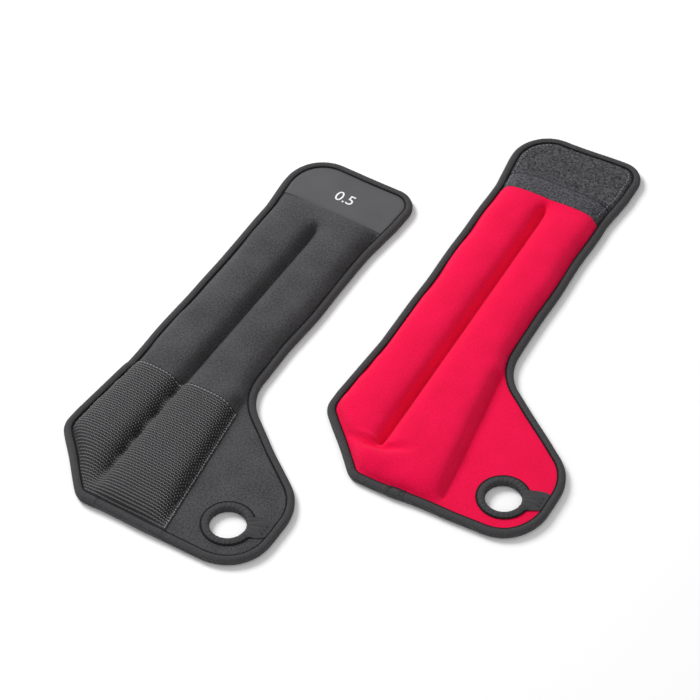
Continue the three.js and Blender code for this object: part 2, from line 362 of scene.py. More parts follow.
def dress(tree, surface, colour, height=None, strength=0, depth=0, **settings):
    """Gives a surface its colour and, from a height, its relief of so many millimetres."""
    tree.links.new(colour, surface.inputs["Base Color"])
    if height:
        bump = add(tree, "ShaderNodeBump", {"Height": height, "Strength": strength,
            "Distance": depth * MM}, **settings)
        tree.links.new(bump.outputs["Normal"], surface.inputs["Normal"])


def carried(tree, name, output):
    """A value that the mesh carries at each point."""
    return add(tree, "ShaderNodeAttribute", attribute_name=name).outputs[output]


def place_in(tree):
    return add(tree, "ShaderNodeTexCoord").outputs["Object"]


def even(name, roughness, specular, scale, detail, dark, light):
    """A material with nothing but a faint cloudiness between two tones."""
    material, tree, surface = finish_of(name, roughness, specular)
    cloud = cloudy(tree, place_in(tree), scale, detail)
    dress(tree, surface, mixed(tree, cloud, dark, light))
    return material


def knitted(name, dark, light, relief, mottle):
    """Brushed polyester jersey: fine ribs of loops that scatter light, softly mottled. The real
    loops are 0.4 mm apart, drawn at 1.1 mm so that they show."""
    material, tree, surface = finish_of(name, 0.92, 0.12)
    cloth = carried(tree, "cloth_mm", "Vector")
    rib = add(tree, "ShaderNodeTexWave", {"Vector": cloth, "Scale": WAVE / 1.1,
        "Distortion": 1.6, "Detail": 2.0, "Detail Scale": 1.5}, bands_direction="X")
    course = add(tree, "ShaderNodeTexWave", {"Vector": cloth, "Scale": WAVE / 0.9,
        "Distortion": 1.2, "Detail": 1.0}, bands_direction="Y")
    grain = cloudy(tree, cloth, 1 / 1.3, 3.0)
    patch = cloudy(tree, cloth, 1 / 26)
    loops = reckon(tree, "MULTIPLY", rib.outputs["Fac"], course.outputs["Fac"])
    tone = reckon(tree, "MULTIPLY_ADD", grain, mottle, loops)
    tone = reckon(tree, "MULTIPLY_ADD", patch, 0.9, tone)
    spread = ramp(tree, tone, mottle / 2 - 0.1, mottle / 2 + 1.5)
    height = reckon(tree, "MULTIPLY_ADD", grain, 0.8, loops)
    dress(tree, surface, mixed(tree, spread, dark, light), height, relief, 0.25)
    surface.inputs["Sheen Weight"].default_value = 0.03
    surface.inputs["Sheen Roughness"].default_value = 0.6
    return material


grey_jersey = knitted("grey_polyester_jersey", "#262628", "#5a5a5c", 0.6, 2.6)


def layer(name, side, v_span, inside, bottom, top, material, step=1.5):
    """A closed layer between two heights, over the part of the plan where inside is above 0.
    Its outline is pulled onto the line where inside is 0."""
    v = np.linspace(*v_span, max(2, round((v_span[1] - v_span[0]) / step)) + 1)
    u = np.arange(FIRST_U, LAST_U, step)
    u, v = np.meshgrid(u, v)
    within = inside(u, v) > -0.4 * step
    keep = within[:-1, :-1] & within[:-1, 1:] & within[1:, :-1] & within[1:, 1:]
    rows, columns = v.shape
    touching = np.zeros(v.shape, int)
    for j, i in ((0, 0), (0, 1), (1, 0), (1, 1)):
        touching[j : rows - 1 + j, i : columns - 1 + i] += keep
    full = np.full(v.shape, 4)
    full[[0, -1], :] = 2
    rim = (touching > 0) & (touching < full)
    on_cut = np.zeros(v.shape, bool)
    on_cut[[0, -1], :] = True
    for _ in range(4):
        h = 0.2
        here = inside(u, v)
        du = (inside(u + h, v) - inside(u - h, v)) / (2 * h)
        dv = (inside(u, v + h) - inside(u, v - h)) / (2 * h)
        dv = np.where(on_cut, 0, dv)
        size = np.maximum(du**2 + dv**2, 0.05)
        u = np.where(rim, u - np.clip(here * du / size, -step, step), u)
        v = np.where(rim, v - np.clip(here * dv / size, -step, step), v)
    high, low = top(u, v), bottom(u, v)
    width = np.hypot(np.diff(u, axis=1), np.diff(high, axis=1))
    cloth = np.c_[np.zeros(rows), np.cumsum(width, axis=1)]
    cloth = cloth - cloth[:, [int(round(-FIRST_U / step))]]
    used = touching > 0
    number = np.full(v.shape, -1)
    number[used] = np.arange(used.sum())
    count = int(used.sum())
    corners = (number[:-1, :-1], number[:-1, 1:], number[1:, 1:], number[1:, :-1])
    a, b, c, d = (corner[keep] for corner in corners)
    faces = [np.c_[a, b, c, d] + count, np.c_[a, d, c, b]]
    held = np.pad(keep, 1)
    beyond = (held[:-2, 1:-1], held[1:-1, 2:], held[2:, 1:-1], held[1:-1, :-2])
    for k in range(4):
        edge = keep & ~beyond[k]
        p, q = corners[k][edge], corners[(k + 1) % 4][edge]
        faces.append(np.c_[p, q, q + count, p + count])
    points = np.r_[np.c_[u[used], v[used], low[used]], np.c_[u[used], v[used], high[used]]]
    piece = meshed(name, placed(side, points), np.concatenate(faces).tolist(), material)
    spots = np.c_[cloth[used], v[used], np.zeros(count)]
    carry(piece.data, "cloth_mm", "FLOAT_VECTOR", np.r_[spots, spots])
    return piece


def carry(data, name, kind, values):
    """Writes one value or vector for each point of a mesh."""
    attribute = data.attributes.new(name, kind, "POINT")
    key = "vector" if kind == "FLOAT_VECTOR" else "value"
    attribute.data.foreach_set(key, np.asarray(values).astype(np.float32).ravel())


def shown(name, data):
    piece = bpy.data.objects.new(name, data)
    scene.collection.objects.link(piece)
    return piece


def meshed(name, points, faces, material):
    """A mesh object at the origin, smooth but for its sharp edges."""
    data = bpy.data.meshes.new(name)
    data.from_pydata(np.asarray(points).tolist(), [], faces)
    data.materials.append(material)
    data.polygons.foreach_set("use_smooth", [True] * len(data.polygons))
    data.set_sharp_from_angle(angle=math.radians(55))
    data.validate()
    return shown(name, data)


def cloth_area(side, low=-FAR, high=FAR):
    """The plan of a skin: inside the edge tape, round the thumb hole, between two lines."""

    def inside(u, v):
        limits = [at(depths[side], u, v) - UNDER_TAPE, from_hole(u, v) - HOLE_RADIUS - 1.6]
        return np.minimum.reduce(limits + [v - low, high - v])

    return inside


def upper_top(side):
    """The raised skin's face, drawn in sharply along its sewn lines."""

    def top(u, v):
        slack = 3 * (1 - smooth((DIVIDER[side][1] - v) / TAPER))
        gap = np.minimum(from_line(u, v, divider(side)) + slack, from_line(u, v, FLAP_SEAM))
        return HIGH_SKIN + SKIN + at(heights[side], u, v) - SEWN_IN * bell(gap, 1.2)

    return top


def lower_low(side):
    """The lower skin's underside, pressed to the table by the shot, except over a patch."""

    def low(u, v):
        press = SAG * np.clip(at(heights[side], u, v) / CROWN, 0, 1)
        return LOW_SKIN - press * (smooth((v + 17) / 8) if side == "right" else 1)

    return low


def skin(name, side, upper, span, inside, material):
    """One length of a skin, as the upper or the lower face of a cuff."""
    if upper:
        top = upper_top(side)
        return layer(name, side, span, inside, lambda u, v: top(u, v) - SKIN, top, material, 1.1)
    low = lower_low(side)
    return layer(name, side, span, inside, low, lambda u, v: low(u, v) + SKIN, material, 2.5)


LENGTHS = ((-137.0, CUTS[0]), (CUTS[0], CUTS[1]), (CUTS[1], CUTS[2]), (CUTS[2], PANEL_V + 1))
for side in SIDES:
    for zone, span in enumerate(LENGTHS):
        inside = cloth_area(side, high=PANEL_V + 1 if zone == TAB else FAR)
        name = f"{side}_outer_jersey_{ZONES[zone][0]}"
        piece = skin(name, side, side == "left", span, inside, grey_jersey)
        bends(piece, side, zone)
        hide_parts(f"{side}_outer_cover_{zone + 1}")

# --------------------------------------
# Lining: crimson jersey on the same foam, worn against the skin. It stops short of the tab,
# where the hook panel is sewn over it.
LINING_TOP = 156.5
crimson_jersey = knitted("crimson_polyester_jersey", "#d00034", "#f6084e", 0.45, 2.2)

for side in SIDES:
    for zone in (PALM, LOWER, UPPER):
        low, high = LENGTHS[zone]
        name = f"{side}_lining_{ZONES[zone][0]}"
        piece = skin(name, side, side == "right", (low, LINING_TOP if zone == UPPER else high),
            cloth_area(side), crimson_jersey)
        bends(piece, side, zone)
        nodes = [f"{side}_lining_{zone + 1}"] + ([f"{side}_lining_4"] if zone == UPPER else [])
        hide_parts(*nodes)

# --------------------------------------
# Shot bags: plain woven bags of iron shot, one in each channel of each length, closed inside
# the skins. They can't be seen, and each lies within its own length of the cuff.
GROOVE_SHADE_REACH = (4.75, 5.15)  # how far in from a tape's edge the painted shade of its stitch groove starts, and where it is full
BAG_PLAY = 0.35  # between a bag and the skins
BAG_END = 0.7  # between a bag and a bend line
CLEAR, FLAP_CLEAR = 1.4, 1.6  # between a bag and the divider, and the flap's sewn line
LEAST_BAG = 1.4  # the skins lie too close together for a bag where they rise less than this


def woven(name, dark, light, pitch, groove_shade=None):
    """Plain woven polyester, flat crossing yarns at an even pitch, dull and slightly uneven.
    A tape's folded-in inner edge, drawn down by its stitches, is painted darker there as shade."""
    material, tree, surface = finish_of(name, 0.85, 0.25)
    place = place_in(tree)
    warp, weft = (
        add(tree, "ShaderNodeTexWave", {"Vector": place, "Scale": WAVE / (pitch * MM)},
            bands_direction=way).outputs["Fac"]
        for way in "XY"
    )
    yarns = reckon(tree, "MAXIMUM", warp, weft)
    tone = reckon(tree, "MULTIPLY", cloudy(tree, place, 900.0), yarns)
    colour = mixed(tree, tone, dark, light)
    # Painted shade: the band along the tape's inner edge is mixed towards the shade colour.
    if groove_shade:
        groove_shade_share = ramp(tree, carried(tree, "from_edge_mm", "Fac"), *GROOVE_SHADE_REACH)
        colour = mixed(tree, groove_shade_share, colour, groove_shade)
    dress(tree, surface, colour, yarns, 0.6, 0.3)
    return material


bag_cloth = woven("undyed_woven_polyester", "#77776f", "#a3a39b", 0.9)


def bag_area(side, channel):
    """The plan of one channel, clear of its sewn lines."""

    def inside(u, v):
        rise = at(heights[side], u, v)
        gap = from_line(u, v, divider(side))
        limits = [at(depths[side], u, v) - BOUND_EDGE - 1.5, (rise - LEAST_BAG) * 2, gap - CLEAR]
        if channel == "plain":
            return np.minimum.reduce(limits + [-CLEAR - u])
        return np.minimum.reduce(limits + [u - CLEAR, flap_seam_u(v) - FLAP_CLEAR - u])

    return inside


for side in SIDES:
    low_skin, top_skin = lower_low(side), upper_top(side)

    def bag_low(u, v):
        return low_skin(u, v) + SKIN + BAG_PLAY

    def bag_top(u, v):
        return np.maximum(top_skin(u, v) - SKIN - BAG_PLAY, bag_low(u, v) + 0.3)

    lines = [-135.0] + [bend_v(side, zone) for zone in range(4)]
    for number, body in enumerate(("palm", "lower", "middle", "upper")):
        span = (lines[number] + BAG_END, lines[number + 1] - BAG_END)
        for channel in ("plain", "thumb"):
            piece = layer(f"{side}_shot_bag_{channel}_{body}", side, span, bag_area(side, channel),
                bag_low, bag_top, bag_cloth, 3.0)
            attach(piece, f"{side}_{body}")
            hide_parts(f"{side}_shot_bag_{channel}_side_{number + 1}")

# --------------------------------------
# Edge tape: black woven polyester, folded over the edge of both skins and sewn through. The
# stitching draws it into small puckers, and it stands over the loop patch where that lies.
LIP = 6.0
PITCH = 3.1  # of the stitches
PATCH_LIFT = 0.8
TAPE_PROFILE = (  # distance in from the edge, and height, round the folded tape
    (6.0, 4.75), (5.85, 5.2), (5.3, 5.35), (4.8, 5.2), (4.3, 5.55), (3.3, 5.85), (2.2, 5.75),
    (1.1, 5.3), (0.35, 4.5), (0.0, 3.5), (0.0, 2.2), (0.3, 1.1), (0.9, 0.4), (2.0, 0.05),
    (3.6, 0.0), (4.8, 0.2), (5.5, 0.05), (5.9, 0.25), (6.0, 0.75), (5.6, 1.05), (3.4, 1.1),
    (1.7, 1.15), (1.3, 2.0), (1.3, 3.4), (1.7, 4.3), (3.4, 4.45), (5.6, 4.5),
)
TAPE_TOP = 9  # the profile's first points are the upper lip
JOIN_PROFILE = (  # the second layer where the tape's two ends lap
    (6.3, 4.9), (6.1, 5.5), (5.3, 5.8), (4.6, 5.75), (3.3, 6.25), (2.2, 6.15), (1.0, 5.7),
    (0.1, 4.8), (-0.35, 3.5), (-0.35, 2.2), (0.0, 1.1), (0.8, 0.7), (0.6, 2.2), (0.6, 3.5),
    (1.4, 4.7), (3.3, 5.3), (5.6, 4.8),
)
JOIN_AT = {"left": (-4.0, 8.0), "right": (22.0, 33.0)}  # where they lap, along the palm's end
# The near-black colour is painted shade in the stitch groove along the tape's inner edge.
black_tape = woven("black_woven_polyester_tape", "#2c2b2d", "#565557", 1.0, groove_shade="#070708")


def over_patch(side, u, v):
    """1 where the loop patch runs under the edge tape's upper lip."""
    return (side == "left") * smooth((LOOP_TOP - v) / 4) * smooth((flap_seam_u(v) + 4 - u) / 4)


def taped(name, side, keep, shape=TAPE_PROFILE, upper=TAPE_TOP, outer=19):
    """A run of the folded tape, over the stations that keep picks, closed at its ends. The
    profile's first points are its upper lip, and those before outer its outer face."""
    place, inward, travel = rims[side]
    picked = np.flatnonzero(keep(place[:, 0], place[:, 1]))
    jump = np.flatnonzero(np.diff(picked) > 1)
    if len(jump):
        picked = np.roll(picked, -(jump[0] + 1))
    picked = np.r_[picked, (picked[-1] + 1) % len(place)]
    place, inward, travel = place[picked], inward[picked], travel[picked]
    profile = np.array(shape)
    seed = 40 + SIDES.index(side)
    fuller = 1 + 0.05 * wander(place[:, 0], place[:, 1], 22, seed)
    pucker = 0.2 * np.cos(2 * math.pi * travel / PITCH)
    pucker = pucker + 0.28 * wander(place[:, 0], place[:, 1], 3.2, seed + 3)
    lift = PATCH_LIFT * over_patch(side, place[:, 0], place[:, 1])
    points = []
    for k, (reach, z) in enumerate(profile):
        rise = np.full(len(place), z) + (lift * min(1, z / 4.4) if z > 2.5 else 0)
        if k < outer:
            swell = pucker * bell(reach - 3.4, 2.4)
            rise = rise + (swell if k < upper else -0.3 * np.minimum(swell, 0))
        points.append(np.c_[place + inward * (reach * fuller)[:, None], rise])
    points = np.stack(points, axis=1)
    count, sides = len(place), len(profile)
    index = np.arange(count * sides).reshape(count, sides)
    a, b = index[:-1], index[1:]
    faces = np.stack([a, b, np.roll(b, -1, 1), np.roll(a, -1, 1)], -1).reshape(-1, 4).tolist()
    faces += [index[0].tolist(), index[-1][::-1].tolist()]
    piece = meshed(name, placed(side, points.reshape(-1, 3)), faces, black_tape)
    carry(piece.data, "from_edge_mm", "FLOAT", np.tile(profile[:, 0], count))
    return piece


TAPE_RUNS = [  # piece, zone, from and to along the cuff, side, and the solids it stands for
    ("palm", PALM, (-FAR, CUTS[0]), 0, ("palm", "plain_side_2", "thumb_side_2")),
]
for zone, end, number in ((LOWER, "lower", 2), (UPPER, "upper", 3)):
    for row, sign in (("plain_side", -1), ("thumb_side", 1)):
        TAPE_RUNS.append((f"{row}_{end}", zone, CUTS[number - 2 : number], sign,
            (f"{row}_{number}", f"{row}_{number + 1}")))
TAPE_RUNS.append(("tab", TAB, (CUTS[2], FAR), 0, ("plain_side_4", "thumb_side_4", "tab")))
for side in SIDES:
    for name, zone, (start, end), sign, nodes in TAPE_RUNS:
        run = lambda u, v: (v >= start) & (v < end) & ((sign * u > 0) | (sign == 0))
        piece = taped(f"{side}_edge_tape_{name}", side, run)
        bends(piece, side, zone)
        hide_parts(*[f"{side}_edge_binding_{node}" for node in nodes])
    start, end = JOIN_AT[side]
    lap = lambda u, v: (u > start) & (u < end) & (v < -100)
    piece = taped(f"{side}_edge_tape_lap", side, lap, JOIN_PROFILE, 7, 11)
    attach(piece, f"{side}_palm")

# --------------------------------------
# Stitches: spun polyester thread. One tree lays short threads on points that carry their own
# direction, and it also makes the loops of the patch and the pile of the hook panel.
THREAD = 0.42
TAPE_STITCH = 4.85  # how far in from the edge the tape is sewn
STITCH_TOP, STITCH_UNDER = 5.28, 0.14  # the stitches' height on the tape's two faces


def thread_tree():
    tree = bpy.data.node_groups.new("laid_threads", "GeometryNodeTree")
    sockets = {}
    for name, kind in (("Geometry", "Geometry"), ("Length", "Float"), ("Width", "Float"),
            ("Material", "Material")):
        sockets[name] = tree.interface.new_socket(name, in_out="INPUT",
            socket_type="NodeSocket" + kind).identifier
    tree.interface.new_socket("Geometry", in_out="OUTPUT", socket_type="NodeSocketGeometry")
    given = add(tree, "NodeGroupInput").outputs
    scale = add(tree, "ShaderNodeCombineXYZ", {"X": given["Length"], "Y": given["Width"],
        "Z": given["Width"]})
    bead = add(tree, "GeometryNodeMeshUVSphere", {"Segments": 6, "Rings": 4, "Radius": 0.5})
    thread = add(tree, "GeometryNodeTransform", {"Geometry": bead.outputs["Mesh"],
        "Scale": scale.outputs[0]})
    along, out = (
        add(tree, "GeometryNodeInputNamedAttribute", {"Name": name}, data_type="FLOAT_VECTOR"
            ).outputs["Attribute"]
        for name in ("along", "out")
    )
    turn = add(tree, "FunctionNodeAlignRotationToVector", {"Vector": along}, axis="X")
    turn = add(tree, "FunctionNodeAlignRotationToVector", {"Rotation": turn.outputs[0],
        "Vector": out}, axis="Z", pivot_axis="X")
    laid = add(tree, "GeometryNodeInstanceOnPoints", {"Points": given["Geometry"],
        "Instance": thread.outputs["Geometry"], "Rotation": turn.outputs[0]})
    real = add(tree, "GeometryNodeRealizeInstances", {"Geometry": laid.outputs[0]})
    dyed = add(tree, "GeometryNodeSetMaterial", {"Geometry": real.outputs[0],
        "Material": given["Material"]})
    add(tree, "NodeGroupOutput", {"Geometry": dyed.outputs[0]})
    return tree, sockets


laid_threads, thread_sockets = thread_tree()


def threads(name, side, points, along, length, width, material):
    """Short threads laid on points of (u, v, z), each along its own direction."""
    origin = placed(side, [(0, 0, 0)])
    data = bpy.data.meshes.new(name)
    data.from_pydata(placed(side, points).tolist(), [], [])
    carry(data, "along", "FLOAT_VECTOR", placed(side, along) - origin)
    upright = placed(side, np.broadcast_to((0, 0, 1), np.shape(points))) - origin
    carry(data, "out", "FLOAT_VECTOR", upright)
    base = shown(name + "_points", data)
    modifier = base.modifiers.new("threads", "NODES")
    modifier.node_group = laid_threads
    for key, value in (("Length", length * MM), ("Width", width * MM), ("Material", material)):
        modifier[thread_sockets[key]] = value
    seen = base.evaluated_get(bpy.context.evaluated_depsgraph_get())
    made = bpy.data.meshes.new_from_object(seen)
    made.name = name
    bpy.data.objects.remove(base)
    made.polygons.foreach_set("use_smooth", [True] * len(made.polygons))
    for key in ("along", "out"):
        if key in made.attributes:
            made.attributes.remove(made.attributes[key])
    return shown(name, made)


def spun(name, dark, light):
    """Spun polyester thread: fine fibres that make it matt, lighter where it is worn."""
    material, tree, surface = finish_of(name, 0.75)
    fibre = cloudy(tree, place_in(tree), 1200.0, 3.0)
    dress(tree, surface, mixed(tree, fibre, dark, light), fibre, 0.4, 0.08)
    return material


black_thread = spun("black_spun_polyester_thread", "#151416", "#2d2c2e")
grey_thread = spun("grey_spun_polyester_thread", "#87878a", "#c2c2c4")


def seam_points(line, pitch):
    """Even places along a line of (u, v), and the line's direction at each."""
    line = np.array(line, float)
    travel = np.r_[0, np.cumsum(np.linalg.norm(np.diff(line, axis=0), axis=1))]
    count = max(2, int(travel[-1] / pitch))
    s = (np.arange(count) + 0.5) * travel[-1] / count
    behind, place, ahead = (
        np.stack([np.interp(s + step, travel, line[:, k]) for k in (0, 1)], 1)
        for step in (-0.4, 0, 0.4)
    )
    return place, ahead - behind


for side in SIDES:
    place, inward, _ = rims[side]
    sewn = place + inward * TAPE_STITCH
    where, way = seam_points(np.vstack([sewn, sewn[:1]]), PITCH)
    level = np.c_[where, STITCH_TOP + PATCH_LIFT * over_patch(side, *where.T)]
    under = np.c_[where, np.full(len(where), STITCH_UNDER)]
    for zone, (low, high) in enumerate(((-FAR, CUTS[0]), CUTS[:2], CUTS[1:], (CUTS[2], FAR))):
        here = (where[:, 1] >= low) & (where[:, 1] < high)
        both = np.vstack([level[here], under[here]])
        ways = np.tile(np.c_[way[here], np.zeros(here.sum())], (2, 1))
        piece = threads(f"{side}_edge_stitches_{ZONES[zone][0]}", side, both, ways, PITCH * 0.72,
            THREAD, black_thread)
        bends(piece, side, zone)

    rows = [np.argmin(np.hypot(place[:, 0] - u, place[:, 1] + 136)) for u in
        (JOIN_AT[side][0] + 1, JOIN_AT[side][1] - 1)]
    depth = np.tile(np.arange(0.8, 6.2, 0.55), 2)
    row = np.repeat(rows, len(depth) // 2)
    spots = place[row] + inward[row] * depth[:, None]
    crest = np.interp(depth, (0.8, 3.3, 6.2), (5.6, 6.35, 5.6))
    along = np.c_[inward[row, 1], -inward[row, 0]] + 0.3 * inward[row]
    piece = threads(f"{side}_lap_tacks", side, np.c_[spots, crest], np.c_[along, 0 * crest], 2.4,
        THREAD, black_thread)
    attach(piece, f"{side}_palm")

# --------------------------------------
# Loop patch: black warp-knitted mesh on the outer face of the palm end, that the hooks of the
# tab grip. It bridges the divider between the points where it is drawn down, and it is sewn
# with grey thread along its top and its thumb side.
PATCH = 0.55
PATCH_LOW = -133.0  # its lower edge, under the tape
PATCH_REACH = 2.0  # past the flap's sewn line
UNDERSIDE = 0.45  # the patch's own underside where it faces the table
ROW = 2.1  # between rows of loops
LOOP = 1.35  # between loops in a row
PINCHES = (-28.0, -49.0, -71.0, -88.0, -104.0)  # where it is drawn down to the divider


def blurred(field, size):
    """The field averaged with its neighbours, over about this many millimetres."""
    for _ in range(max(1, round((size / GRID) ** 2))):
        soft = field.copy()
        soft[1:-1, 1:-1] = (field[1:-1, 1:-1] * 2 + field[:-2, 1:-1] + field[2:, 1:-1]
            + field[1:-1, :-2] + field[1:-1, 2:]) / 6
        field = soft
    return field


def patch_area(side, inset):
    def inside(u, v):
        return np.minimum.reduce([at(depths[side], u, v) - inset,
            flap_seam_u(v) + PATCH_REACH - u, LOOP_TOP - v])

    return inside


mesh_ground, mesh_tree, mesh_surface = finish_of("black_knitted_mesh_ground", 0.8)
# The ground of the mesh: dark filament yarns, nearly hidden under the raised loops.
cell = add(mesh_tree, "ShaderNodeTexVoronoi", {"Vector": carried(mesh_tree, "cloth_mm", "Vector"),
    "Scale": 1 / 1.2, "Randomness": 0.35}).outputs["Distance"]
dress(mesh_tree, mesh_surface, mixed(mesh_tree, cell, "#1d1d1e", "#0a0a0b"), cell, 0.6, 0.3,
    invert=True)
# The loop yarn is black nylon; its light grey tones are painted highlights, the glints along its
# loops.
loop_yarn_painted_glints = spun("black_nylon_loop_yarn_painted_glints", "#525255", "#a6a6a9")

# The extra height with which the patch bridges the divider and puckers.
bridged = np.maximum(blurred(heights["left"], 5) - heights["left"], 0) * bell(PLAN_U, 8)
bridged = bridged * (1 - 0.92 * np.max([bell(PLAN_V - v, 6.5) for v in PINCHES], axis=0))

for side in SIDES:
    up = side == "left"

    def base(u, v):
        if not up:
            return np.full(np.shape(u), UNDERSIDE)
        return HIGH_SKIN + SKIN + 0.12 + at(heights[side], u, v) + at(bridged, u, v)

    def face(u, v):
        return base(u, v) + PATCH

    area = patch_area(side, 3.6 if up else LIP + 0.5)
    span = (PATCH_LOW, LOOP_TOP)
    piece = layer(f"{side}_loop_patch", side, span, area, base, face, mesh_ground, 1.4)
    bends(piece, side, PALM)
    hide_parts(f"{side}_loop_patch_1", f"{side}_loop_patch_2")

    # Its loops lean alternately, so that each row runs as a fine zigzag.
    v, u = np.mgrid[PATCH_LOW + 1 : LOOP_TOP - 1.2 : ROW, -50.0:62.0:LOOP]
    row, loop = np.mgrid[0 : v.shape[0], 0 : v.shape[1]]
    v = v + 0.12 * wander(u, v, 12, 61) + 0.35 * wander(u, v, 40, 62)
    u = u + 0.5 * LOOP * (row % 2)
    on = patch_area(side, LIP + 0.2 if up else LIP + 1.2)(u, v) > 0.5
    u, v, lean = u[on], v[on], np.where((loop + row) % 2, 1, -1)[on]
    height = face(u, v) + 0.02 if up else base(u, v) - 0.02
    slope = face(u + 0.5, v) - face(u - 0.5, v) if up else 0 * u
    way = np.c_[np.ones_like(u), 1.15 * lean, slope]
    piece = threads(f"{side}_patch_loops", side, np.c_[u, v, height], way, 1.75, 0.5, loop_yarn_painted_glints)
    bends(piece, side, PALM)

    seam_v = np.linspace(LOOP_TOP - 1.3, -128, 60)
    side_line = np.c_[flap_seam_u(seam_v) + PATCH_REACH - 1.1, seam_v]
    top_line = np.c_[np.linspace(-38.4, 42.8, 60), np.full(60, LOOP_TOP - 1.3)]
    for name, line in (("top", top_line), ("side", side_line)):
        where, way = seam_points(line, 2.6)
        z = face(*where.T) + 0.12 if up else base(*where.T) - 0.1
        ahead = face(*(where + way).T) - face(*(where - way).T) if up else 0 * z
        piece = threads(f"{side}_patch_stitches_{name}", side, np.c_[where, z],
            np.c_[way * 2, ahead], 1.9, 0.52, grey_thread)
        bends(piece, side, PALM)

# --------------------------------------
# Thumb ring: the same tape, gathered round the hole and drawn out into a short tail that runs
# under the edge tape. Its inner edge is full of small folds.
RING_LIP = 6.2
TAIL_AT = math.radians(18)  # the tail's direction from the hole
TAIL_SPREAD = math.radians(17)
TAIL_END = 119.9
FOLDS, GATHER = 27, 0.42  # folds round the hole, and how far they stand
STATIONS = 204
THICK = 5.55  # of the ring
RING_UPPER = (  # share of the way out from the hole, height, and how much it gathers
    (1, 4.5, 0), (1, 4.95, 0), (0.9, 5.3, 0.1), (0.78, 5.1, 0.1), (0.64, 5.6, 0.4),
    (0.45, 5.9, 0.8), (0.25, 5.85, 1), (0.1, 5.45, 1.2), (0.02, 4.7, 1.1), (0, 3.6, 0.7),
)
RING_INNER = ((0.6, 1.1), (0.24, 1.15), (0.2, 2.75), (0.24, 4.35), (0.6, 4.4))


def ring_reach(angle):
    """The ring's outer edge, drawn out to the tail."""
    off = np.abs((angle - TAIL_AT + math.pi) % (2 * math.pi) - math.pi)
    tail = (TAIL_END - HOLE[0]) / np.maximum(np.cos(angle), 0.5)
    drawn = smooth((TAIL_SPREAD + 0.22 - off) / 0.34)
    return HOLE_RADIUS + RING_LIP + (tail - HOLE_RADIUS - RING_LIP) * drawn


def thumb_ring(name, side):
    angle = np.arange(STATIONS) * 2 * math.pi / STATIONS
    reach = ring_reach(angle)
    drawn = wander(np.cos(angle) * 30, np.sin(angle) * 30, 3.0, 70 + SIDES.index(side))
    fold = GATHER * (0.6 * np.cos(FOLDS * angle + 2.5 * drawn) + 0.5 * drawn)
    lower = [(share, max(THICK - z, 0.0), 0.6 * gather) for share, z, gather in RING_UPPER[::-1]]
    profile = list(RING_UPPER) + lower + [(share, z, 0) for share, z in RING_INNER]
    rings = []
    for share, z, gather in profile:
        radius = HOLE_RADIUS + share * (reach - HOLE_RADIUS) + gather * fold
        level = z + (gather * fold if z > THICK / 2 else np.maximum(-gather * fold, -z))
        spot = [HOLE[0] + radius * np.cos(angle), HOLE[1] + radius * np.sin(angle), level]
        rings.append(np.stack(spot, 1))
    points = np.stack(rings, axis=1)
    sides = points.shape[1]
    index = np.arange(STATIONS * sides).reshape(STATIONS, sides)
    b = np.roll(index, -1, 0)
    faces = np.stack([index, np.roll(index, -1, 1), np.roll(b, -1, 1), b], -1).reshape(-1, 4)
    piece = meshed(name, placed(side, points.reshape(-1, 3)), faces.tolist(), black_tape)
    across = np.array([LIP * share for share, _, _ in profile])
    # Painted shade: the tape's dark groove band shows round the ring's outer edge; along the
    # drawn-out tail the distance is held short of it, so no shade is painted there.
    painted_shade_cap = np.where(reach > HOLE_RADIUS + RING_LIP + 1.5, 4.0, 6.0)[:, None]
    carry(piece.data, "from_edge_mm", "FLOAT", np.minimum(across, painted_shade_cap))
    return piece


for side in SIDES:
    piece = thumb_ring(f"{side}_thumb_ring", side)
    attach(piece, f"{side}_palm")
    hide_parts(f"{side}_thumb_ring")
    angle = np.linspace(TAIL_AT + 0.5, TAIL_AT + 2 * math.pi - 0.5, 200)
    reach = HOLE_RADIUS + (ring_reach(angle) - HOLE_RADIUS) * 0.78
    line = np.c_[HOLE[0] + reach * np.cos(angle), HOLE[1] + reach * np.sin(angle)]
    where, way = seam_points(line, 2.8)
    tack_u, tack_v = np.meshgrid(np.arange(108.5, 117.5, 0.8), HOLE[1] + np.array((3.8, 7.2, 10.6)))
    tack = np.c_[tack_u.ravel(), tack_v.ravel()]
    lean = np.where(np.arange(len(tack)) % 2, 1.0, -1.0)
    where = np.vstack([where, tack])
    way = np.vstack([way, np.c_[np.full(len(tack), 0.25), lean]])
    spots = np.c_[where, np.full(len(where), 5.25)]
    piece = threads(f"{side}_ring_stitches", side, spots, np.c_[way, np.zeros(len(way))], 2.1,
        THREAD, black_thread)
    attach(piece, f"{side}_palm")

# --------------------------------------
# End panel: smooth coated polyester on the outer face of the tab, with the cuff's weight
# printed on it in white. Its lower edge lies over the end of the outer cover.
PANEL_STEP = 0.45
TIP_V = 222.5  # the panels' end, inside the tape
coated, coat_tree, coat_surface = finish_of("grey_coated_polyester", 0.5, 0.35)
# A thin even coating over fine cloth: satin, with a faint grain and hardly any mottling.
place = place_in(coat_tree)
tint = mixed(coat_tree, cloudy(coat_tree, place, 45.0), "#454548", "#515154")
dress(coat_tree, coat_surface, tint, cloudy(coat_tree, place, 1500.0), 0.25, 0.05)

NUMBER_V = 194.0
NUMBER_HEIGHT = 13.0
# Screen-printed ink, flat and slightly broken by the cloth's grain.
white_print = even("white_screen_print_ink", 0.6, None, 1100.0, 3.0, "#cfcfcf", "#f4f4f4")
panel_waves = wander(PLAN_U, PLAN_V, 26, 81)


def past_tape(side, u, v, start, width):
    """0 at the edge tape and 1 past it, so that a panel tucks in under the tape."""
    return smooth((at(depths[side], u, v) - start) / width)


